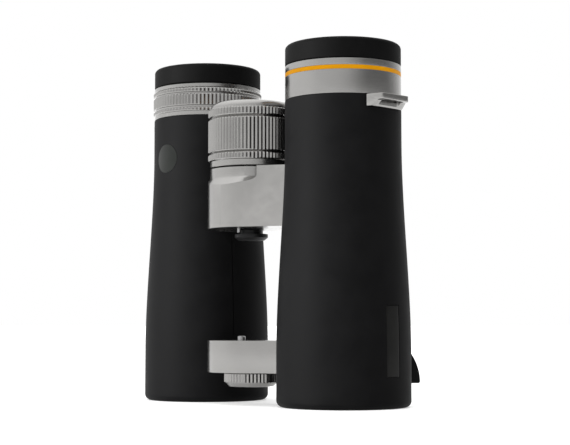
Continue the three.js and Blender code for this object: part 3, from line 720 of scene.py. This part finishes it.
def knurled(name, profile, bands, teeth, depth, centre, material, body, slot, node):
    """A turned ring whose outer radius is ribbed inside the given bands of height."""

    crest_r = max(r for r, _ in profile)

    def shaped(r, z, a):
        for low, high, floor in bands:
            if low - 1e-6 <= z <= high + 1e-6 and r > floor:
                return min(r, crest_r - depth * tooth_fall(a, teeth))
        return r

    bm = revolve_mesh(profile, centre, radius_of=shaped, angles=tooth_angles(teeth))
    obj = make_object(name, bm, material, KNURL_SHARP_DEG)
    place(obj, body, slot, node)


def band_rows(radius, low, high, depth, rows=3):
    """One knurled band's outer outline, bottom to top. Its chamfers cut the teeth into points."""
    start, end = low + CHAMFER_RISE, high - CHAMFER_RISE
    valley = radius - depth
    middle_rows = [(radius, start + (end - start) * i / rows) for i in range(rows + 1)]
    return [(valley - 0.05, low), (valley, low + 0.04), *middle_rows, (valley, high - 0.04),
            (valley - 0.05, high)]


def make_diopter_ring():
    top = COLLAR_HIGH
    r = COLLAR_R
    bands = [(top - 11.6, top - 10.2), (top - 9.2, top - 4.4), (top - 3.6, top - 1.9)]
    outline = [(TUBE_BORE_R, COLLAR_LOW), (r - 0.15, COLLAR_LOW), (r, COLLAR_LOW + 0.15)]
    for low, high in bands:
        outline.append((r - 0.25, low - 0.15))
        outline += band_rows(DIOPTER_R, low, high, DIOPTER_DEPTH)
        outline.append((r - 0.25, high + 0.15))
    outline += [
        (r, top - 1.45), (r, top - 0.15), (r - 0.15, top), (COLLAR_BORE_R, top),
        (COLLAR_BORE_R, COLLAR_FLOOR), (TUBE_BORE_R, COLLAR_FLOOR),
    ]
    limits = [(low, high, r - 1) for low, high in bands]
    knurled("diopter_knurl_ring", outline, limits, DIOPTER_TEETH, DIOPTER_DEPTH, AXIS["right"], SILVER,
            "diopter_ring", "silver_metal", "diopter_ring")


def make_strap_lug(side):
    centre, turn = AXIS[side], OUTWARD[side]
    side_view = [
        (LUG_ROOT_R - 1, LUG_TOP - LUG_DEPTH), (23.3, LUG_TOP - LUG_DEPTH),
        (26.0, LUG_TOP - LUG_LIP - 0.3), (LUG_FACE_R + 1, LUG_TOP - LUG_LIP),
        (LUG_FACE_R + 1, LUG_TOP), (LUG_ROOT_R - 1, LUG_TOP),
    ]
    body = side_prism_mesh(side_view, 12, centre, turn)
    plan = prism_mesh(rounded(lug_plan(), 1.2, 5, skip=(0, 3)), LUG_TOP - 8, LUG_TOP + 2,
                      centre, turn)
    near, far = LUG_SLOT_R
    half = LUG_SLOT_HALF_W
    slot = rounded([(near, -half), (far, -half), (far, half), (near, half)], 0.9, 5)
    hole = prism_mesh(slot, LUG_TOP - 9, LUG_TOP + 3, centre, turn)
    bm = combine(body, [("INTERSECT", plan), ("DIFFERENCE", hole)])
    obj = make_object(f"{side}_lug_loop", bevelled(bm, 0.3, 3, 30), SILVER)
    place(obj, f"{side}_barrel", "silver_metal", f"{side}_strap_lug")


# ---------------------------------------------------------------- bridges
NOSE_CENTRE = (0.7, -1.6)
NOSE_R = 17.0
NOSE_BACK_R = 13.0
FACE_ANGLE = math.radians(30)
FACE_RUN = 20.7
POCKET_R = 12.5
ARM_HALF_W = 6.2
ARM_ROOT_R = 13.4
ARM_END_R = 21.5
TONGUE_REACH = (4, 15)
UPPER_PIN_HOLE_R = 4.2
LOWER_PIN_HOLE_R = 5.2
SPINDLE_BORE_R = 3.3
BOSS_LOW = 91.5
COVE_WIDTH = 4.0
COVE_FALL = 6.8
COVE_STEPS = [i / 16 for i in range(17)]
BOSS_HALF = math.radians(53.3)
BRIDGE_ROUNDING = 0.55
HUB_R = 12.2
UPPER_HUB = (75.9, 83.0)
LOWER_HUB = (16.3, 22.5)
UPPER_POCKET = (75.6, 91.3)
LOWER_POCKET = (16.0, 22.8)


def nose_outline():
    """Round in front, with a flat front face that leaves the round at a tangent."""
    cx, cy = NOSE_CENTRE
    tangent = FACE_ANGLE - math.pi / 2
    round_front = arc(cx, cy, NOSE_R, math.radians(-168), tangent, 56)
    x, y = round_front[-1]
    return [
        *round_front,
        (x + math.cos(FACE_ANGLE) * FACE_RUN, y + math.sin(FACE_ANGLE) * FACE_RUN),
        (27.5, 15.4),
        *arc(0, 0, NOSE_BACK_R, math.radians(60), math.radians(188), 40),
    ]


def wedge_mesh(start, end, radius, z0, z1):
    return prism_mesh([(0, 0), *arc(0, 0, radius, start, end, 24)], z0, z1, HINGE)


def cylinder_mesh(radius, z0, z1, centre, segments=96):
    return prism_mesh(arc(0, 0, radius, 0, TURN * (1 - 1 / segments), segments - 1), z0, z1, centre)


def pocket_steps(z0, z1):
    return [
        ("DIFFERENCE", cylinder_mesh(POCKET_R, z0, z1, HINGE)),
        ("DIFFERENCE", wedge_mesh(math.radians(68), math.radians(196), 24, z0, z1)),
    ]


def cove_mesh(low, top):
    """The crescent below the round boss: deepest at the front, nothing at either end."""
    floor = [(SKIRT_R + COVE_WIDTH * t, BOSS_LOW - COVE_FALL * t ** 0.85) for t in COVE_STEPS]
    bm = revolve_mesh([*floor, (SKIRT_R + COVE_WIDTH, top), (SKIRT_R, top)], HINGE, 288)
    for vert in bm.verts:
        turn = abs(math.atan2(vert.co.x - HINGE.x, HINGE.y - vert.co.y)) / BOSS_HALF
        if vert.co.z < BOSS_LOW:
            fade = max(0.0, math.cos(min(turn, 1.0) * math.pi / 2)) ** 0.6
            vert.co.z = BOSS_LOW - (BOSS_LOW - vert.co.z) * fade
    front = -math.pi / 2
    return combine(bm, [
        ("INTERSECT", wedge_mesh(front - BOSS_HALF, front + BOSS_HALF, 45, low, top + 2))])


def make_left_bridge(name, z0, z1, pocket, boss):
    base = prism_mesh(nose_outline(), z0, z1, HINGE)
    steps = pocket_steps(*pocket)
    if boss:
        steps.append(("DIFFERENCE", cove_mesh(z0, z1 + 2)))
        steps.append(("DIFFERENCE", cylinder_mesh(SPINDLE_BORE_R, z1 - 6, z1 + 1, HINGE, 48)))
    obj = make_object(name, bevelled(combine(base, steps), BRIDGE_ROUNDING, 4, 28), SILVER)
    place(obj, "left_barrel", "silver_metal", "left_frame")


def arm_plan(start, end):
    return [(start, -ARM_HALF_W), (end, -ARM_HALF_W), (end, ARM_HALF_W), (start, ARM_HALF_W)]


def make_right_arm(name, z0, z1, hub, pin_hole_r):
    """A thick root at the barrel, then a thinner tongue to the hub in the left bridge's pocket."""
    turn = ARM_ANGLE["right"]
    root = arm_plan(ARM_ROOT_R, ARM_END_R)
    base = prism_mesh(root, z0, z1, HINGE, turn)
    tongue = arm_plan(*TONGUE_REACH)
    steps = [
        ("UNION", prism_mesh(tongue, *hub, HINGE, turn)),
        ("UNION", cylinder_mesh(HUB_R, *hub, HINGE)),
        ("DIFFERENCE", cylinder_mesh(pin_hole_r, hub[0] - 2, hub[1] + 2, HINGE, 48)),
    ]
    obj = make_object(name, bevelled(combine(base, steps), BRIDGE_ROUNDING, 4, 35), SILVER)
    place(obj, "right_barrel", "silver_metal", "right_frame")


def make_housing(side):
    """The metal tube inside the armour, with the seat that the eyepiece screws into."""
    skin = ARMOR_THICK + 0.3
    wall = skin + 1.5
    heights = [FLARE_START + (FLARE_END - FLARE_START) * i / 12 for i in range(13)]
    outer = [(barrel_radius(z) - skin, z) for z in heights]
    inner = [(barrel_radius(z) - wall, z) for z in reversed(heights)]
    top = ARMOR_TOP - 0.3
    profile = [
        (22.7, 2.5), (OBJECTIVE_R - skin, 2.5), *outer, (NECK_R - skin, top), (TUBE_R + 0.3, top),
        (TUBE_R + 0.3, top - 2.8), (NECK_R - wall, top - 2.8), *inner, (20.8, 17), (20.8, 14.8),
        (22.7, 14.8),
    ]
    obj = revolve(f"{side}_housing_tube", profile, AXIS[side], BLACK_METAL, corner=0, segments=96)
    place(obj, f"{side}_barrel", "silver_metal", f"{side}_frame")


# ---------------------------------------------------------------- optics that show
def make_objective(side):
    low, high = (c.z for c in box_mm(f"{side}_objective_ring"))
    ridges = []
    z = low + 1.2
    while z < high - 0.9:
        ridges += [(20.9, z), (21.3, z + 0.35)]
        z += 0.7
    profile = [(20.6, low), (22.3, low), (22.3, high), (20.6, high), *reversed(ridges)]
    ring = revolve(f"{side}_retaining_ring", profile, AXIS[side], BLACK_METAL, corner=0.06)
    place(ring, f"{side}_barrel", "black_metal", f"{side}_objective_ring")
    make_lens(f"{side}_objective_glass", f"{side}_objective_lens", side, radius=22.3,
              low=8.3, high=13.6, bulge_low=1.6, bulge_high=1.2)


def make_eyepiece(side):
    low, high = (c.z for c in box_mm(f"{side}_eyepiece_tube"))
    lip = high - 1.4
    profile = [
        (14.6, low), (TUBE_R, low), (TUBE_R, high), (13.8, high), (12.9, high - 0.7),
        (12.6, lip), (14.6, lip),
    ]
    tube = revolve(f"{side}_ocular_tube", profile, AXIS[side], BLACK_METAL, corner=0.15)
    place(tube, f"{side}_barrel", "black_metal", f"{side}_eyepiece_tube")
    make_lens(f"{side}_eye_glass", f"{side}_eye_lens", side, radius=14.3,
              low=131, high=136, bulge_low=2, bulge_high=0.4)


def make_lens(name, node, side, radius, low, high, bulge_low, bulge_high):
    """A lens with two curved faces, each bulging from the rim's edge."""
    steps = 14
    under = [(radius * i / steps, low - bulge_low * (1 - (i / steps) ** 2))
             for i in range(steps + 1)]
    over = [(radius * i / steps, high + bulge_high * (1 - (i / steps) ** 2))
            for i in range(steps, -1, -1)]
    obj = revolve(name, under + over, AXIS[side], GLASS, corner=0, segments=96)
    place(obj, f"{side}_barrel", "coated_glass", node)


# ---------------------------------------------------------------- centre pieces
WHEEL_TEETH = 72
WHEEL_BORE_R = 14.5
WHEEL_WEB = (104.0, 106.5)
WHEEL_HUB_R = 6.0
WHEEL_HUB_TOP = 112.0
SPINDLE_HOLE_R = 3.2
WHEEL_DEPTH = 0.38
WHEEL_PLUG_R = 14.2
WHEEL_PLUG_LOW = 117
CAP_TEETH = 45
CAP_DEPTH = 0.38
CAP_CHAMFER = 1.6
CAP_STUD_R = 2.9
CAP_STUD_H = 7.3


def make_focus_wheel():
    r = WHEEL_R
    top = WHEEL_HIGH
    bore = WHEEL_BORE_R
    web_low, web_high = WHEEL_WEB
    bands = [(98.6, 101.2), (102.0, 115.5), (116.5, top)]
    foot = WHEEL_LOW + 0.3
    outline = [(bore, foot), (SKIRT_R - 0.2, foot), (SKIRT_R, foot + 0.2),
               (SKIRT_R, 98.3)]
    for n, (low, high) in enumerate(bands):
        outline += band_rows(r, low, high, WHEEL_DEPTH, 5 if n == 1 else 3)
        if n < 2:
            outline.append((SKIRT_R - 0.1, (high + bands[n + 1][0]) / 2))
    outline += [
        (bore, top), (bore, web_high), (WHEEL_HUB_R, web_high), (WHEEL_HUB_R, WHEEL_HUB_TOP),
        (SPINDLE_HOLE_R, WHEEL_HUB_TOP), (SPINDLE_HOLE_R, web_low), (bore, web_low),
    ]
    limits = [(low, high, SKIRT_R - 0.3) for low, high in bands]
    knurled("focus_wheel_knurl", outline, limits, WHEEL_TEETH, WHEEL_DEPTH, HINGE, SILVER,
            "focus_wheel", "silver_metal", "focus_wheel")


def make_wheel_cap():
    seat = WHEEL_HIGH + 0.1
    top = WHEEL_TOP
    r = SKIRT_R
    profile = [
        (0, WHEEL_PLUG_LOW), (WHEEL_PLUG_R, WHEEL_PLUG_LOW), (WHEEL_PLUG_R, seat),
        (r - 0.1, seat), (r, seat + 0.3),
        *arc(r - 2.4, top - 2.3, 2.3, 0.15, math.pi / 2, 10),
        (r - 4.6, top - 0.02), (r - 5.0, top - 0.35), (r - 5.4, top - 0.4), (0, top - 0.4),
    ]
    obj = revolve("focus_wheel_dome", profile, HINGE, SILVER, corner=0)
    place(obj, "focus_wheel", "silver_metal", "focus_wheel_cap")


def make_hinge_button():
    low, high = (c.z for c in box_mm("hinge_end_button"))
    face_r, rim_r, neck_r = 5.4, 6.8, 4.6
    shoulder = low + 2.5
    profile = [
        (0, low), (face_r, low), (rim_r, low + 1.1), (rim_r, shoulder), (neck_r, shoulder),
        (neck_r, high), (0, high),
    ]
    obj = revolve("hinge_button_turned", profile, HINGE, BLACK_METAL, corner=0.18, segments=96)
    place(obj, "left_barrel", "black_metal", "hinge_end_button")


def make_pin(name, node):
    low, high = box_mm(node)
    r = (high.x - low.x) / 2
    c = min(0.3, r * 0.3)
    profile = [(0, low.z), (r - c, low.z), (r, low.z + c), (r, high.z - c), (r - c, high.z),
               (0, high.z)]
    obj = revolve(name, profile, middle(node).xy, STEEL, corner=0.05, segments=48)
    place(obj, "left_barrel", "steel", node)


def make_tripod_cap():
    low, high = (c.z for c in box_mm("tripod_cap"))
    rim = high - CAP_STUD_H
    r = (box_mm("tripod_cap")[1].x - box_mm("tripod_cap")[0].x) / 2
    chamfer = CAP_CHAMFER
    outline = [
        (0, low), (r - chamfer - 1.2, low), (r - chamfer - 0.2, low + 0.15),
        (r - 0.5, low + chamfer - 0.2), (r, low + chamfer + 0.3),
        (r, (low + rim) / 2 + 1), (r, rim - 0.4), (r - 0.4, rim),
        (CAP_STUD_R, rim), (CAP_STUD_R, high), (0, high),
    ]
    knurled("tripod_cap_knurl", outline, [(low + chamfer - 0.3, rim, r - 0.6)], CAP_TEETH, CAP_DEPTH,
            HINGE, SILVER, "tripod_cap", "silver_metal", "tripod_cap")


# ---------------------------------------------------------------- studio
# Studio lengths are in metres.
VIEW_AZIMUTH = math.radians(46.26)
VIEW_DISTANCE = 0.6141
VIEW_SHIFT = 0.0054
VIEW_HEIGHT = 0.03255
VIEW_TILT = math.radians(3.90)
LENS_MM = 93.66
DARK_TURN = math.radians(70)
TENT_STRENGTH = 1.2
ZENITH_STRENGTH = 2.2
FLOOR_GLOW = 0.4
LOBE_TURN = math.radians(101)
LOBE_GAIN = 1.22
DARK_SIDE_STOPS = [
    (0.30, (1.0, 1.0, 1.0)), (0.60, (0.88, 0.88, 0.88)), (0.74, (0.74, 0.74, 0.74)),
    (0.88, (0.42, 0.42, 0.42)), (0.95, (0.25, 0.25, 0.25)),
]
RUBBER_LIGHT_W = 39
RUBBER_LIGHT_SIZE = (0.7, 1.2)
ZENITH_START = 0.3
LOBE_START = 0.6
FLOOR_R = 20
RIGHTWARD = Vector((math.cos(VIEW_AZIMUTH), math.sin(VIEW_AZIMUTH), 0))
TOWARD_VIEW = Vector((math.sin(VIEW_AZIMUTH), -math.cos(VIEW_AZIMUTH), 0))


def make_camera():
    data = bpy.data.cameras.new("camera")
    data.lens = LENS_MM
    data.sensor_width = 36.0
    data.clip_start = 0.01
    camera = bpy.data.objects.new("camera", data)
    camera.location = RIGHTWARD * VIEW_SHIFT + TOWARD_VIEW * VIEW_DISTANCE
    camera.location.z = VIEW_HEIGHT
    camera.rotation_euler = (math.pi / 2 + VIEW_TILT, 0, VIEW_AZIMUTH)
    bpy.context.scene.collection.objects.link(camera)
    bpy.context.scene.camera = camera


def make_rubber_light():
    """A tall soft box on the left that lights only the rubber pieces."""
    data = bpy.data.lights.new("rubber_fill", "AREA")
    data.shape = "RECTANGLE"
    data.size, data.size_y = RUBBER_LIGHT_SIZE
    data.energy = RUBBER_LIGHT_W
    light = bpy.data.objects.new("rubber_fill", data)
    receivers = bpy.data.collections.new("rubber_pieces")
    for obj in bpy.data.objects:
        if obj.type == "MESH" and obj.active_material in (RUBBER, CUP_RUBBER):
            receivers.objects.link(obj)
    light.light_linking.receiver_collection = receivers
    aim_light(light, -1.0, 0.42, 0.15)


def aim_light(light, rightward, toward, height, aim=(0, 0, 0.07)):
    light.location = RIGHTWARD * rightward + TOWARD_VIEW * toward + Vector((0, 0, height))
    direction = Vector(aim) - light.location
    light.rotation_euler = direction.to_track_quat("-Z", "Y").to_euler()
    bpy.context.scene.collection.objects.link(light)


def make_floor():
    bm = bmesh.new()
    bmesh.ops.create_circle(bm, cap_ends=True, radius=FLOOR_R, segments=128)
    mesh = bpy.data.meshes.new("floor")
    bm.to_mesh(mesh)
    bm.free()
    floor = bpy.data.objects.new("floor", mesh)
    bpy.context.scene.collection.objects.link(floor)
    material, tree, shader = new_material("floor_paper")
    paper = [(0.3, (0.80, 0.80, 0.80)), (0.7, (0.82, 0.82, 0.82))]
    tone = add_ramp(tree, add_noise(tree, 400.0), paper)
    tree.links.new(tone, shader.inputs["Base Color"])
    shader.inputs["Roughness"].default_value = 0.9
    shader.inputs["Specular IOR Level"].default_value = 0.1
    shader.inputs["Emission Color"].default_value = (1, 1, 1, 1)
    shader.inputs["Emission Strength"].default_value = FLOOR_GLOW
    mesh.materials.append(material)


def left_lobe(tree, direction):
    """A mild brightening of the tent towards the back left."""
    toward_lobe = TOWARD_VIEW * math.cos(LOBE_TURN) - RIGHTWARD * math.sin(LOBE_TURN)
    dot = tree.nodes.new("ShaderNodeVectorMath")
    dot.operation = "DOT_PRODUCT"
    dot.inputs[1].default_value = toward_lobe
    tree.links.new(direction, dot.inputs[0])
    lobe = tree.nodes.new("ShaderNodeMapRange")
    lobe.inputs["From Min"].default_value = LOBE_START
    lobe.inputs["To Min"].default_value = 1.0
    lobe.inputs["To Max"].default_value = LOBE_GAIN
    tree.links.new(dot.outputs["Value"], lobe.inputs["Value"])
    return lobe.outputs["Result"]


def make_world():
    """White tent light, brightest overhead, dimmer towards a dark side right of the camera."""
    world = bpy.data.worlds.new("studio")
    world.use_nodes = True
    tree = world.node_tree
    dark_side = RIGHTWARD * math.sin(DARK_TURN) + TOWARD_VIEW * math.cos(DARK_TURN)
    coords = tree.nodes.new("ShaderNodeTexCoord")
    dot = tree.nodes.new("ShaderNodeVectorMath")
    dot.operation = "DOT_PRODUCT"
    dot.inputs[1].default_value = dark_side
    tree.links.new(coords.outputs["Generated"], dot.inputs[0])
    spread = tree.nodes.new("ShaderNodeMapRange")
    spread.inputs["From Min"].default_value = -1.0
    tree.links.new(dot.outputs["Value"], spread.inputs["Value"])
    tone = add_ramp(tree, spread.outputs["Result"], DARK_SIDE_STOPS)
    tent = tree.nodes["Background"]
    tree.links.new(tone, tent.inputs["Color"])
    parts = tree.nodes.new("ShaderNodeSeparateXYZ")
    tree.links.new(coords.outputs["Generated"], parts.inputs[0])
    rise = tree.nodes.new("ShaderNodeMapRange")
    rise.inputs["From Min"].default_value = ZENITH_START
    rise.inputs["To Min"].default_value = TENT_STRENGTH
    rise.inputs["To Max"].default_value = ZENITH_STRENGTH
    tree.links.new(parts.outputs["Z"], rise.inputs["Value"])
    glow = tree.nodes.new("ShaderNodeMath")
    glow.operation = "MULTIPLY"
    tree.links.new(rise.outputs["Result"], glow.inputs[0])
    tree.links.new(left_lobe(tree, coords.outputs["Generated"]), glow.inputs[1])
    tree.links.new(glow.outputs["Value"], tent.inputs["Strength"])
    backdrop = tree.nodes.new("ShaderNodeBackground")
    path = tree.nodes.new("ShaderNodeLightPath")
    mix = tree.nodes.new("ShaderNodeMixShader")
    tree.links.new(path.outputs["Is Camera Ray"], mix.inputs["Fac"])
    tree.links.new(tent.outputs["Background"], mix.inputs[1])
    tree.links.new(backdrop.outputs["Background"], mix.inputs[2])
    backdrop.inputs["Color"].default_value = (1, 1, 1, 1)
    tree.links.new(mix.outputs["Shader"], tree.nodes["World Output"].inputs["Surface"])
    bpy.context.scene.world = world


def make_studio():
    make_camera()
    make_floor()
    make_world()
    make_rubber_light()
    bpy.context.scene.view_settings.view_transform = "Standard"


# ---------------------------------------------------------------- build
dress_frame_nodes()
for side in SIDES:
    make_armor(side)
    make_thumb_rest(side)
    make_eyecup(side)
    make_sleeve(side)
    make_strap_lug(side)
    make_housing(side)
    make_objective(side)
    make_eyepiece(side)
make_label_plate()
make_badge()
make_collar()
make_diopter_ring()
make_left_bridge("left_upper_bridge", *UPPER, UPPER_POCKET, True)
make_left_bridge("left_lower_bridge", *LOWER, LOWER_POCKET, False)
make_right_arm("right_upper_arm", *UPPER, UPPER_HUB, UPPER_PIN_HOLE_R)
make_right_arm("right_lower_arm", *LOWER, LOWER_HUB, LOWER_PIN_HOLE_R)
make_focus_wheel()
make_wheel_cap()
make_hinge_button()
make_pin("upper_pin_steel", "upper_stop_pin")
make_pin("lower_pin_steel", "lower_dowel_pin")
make_tripod_cap()
make_studio()
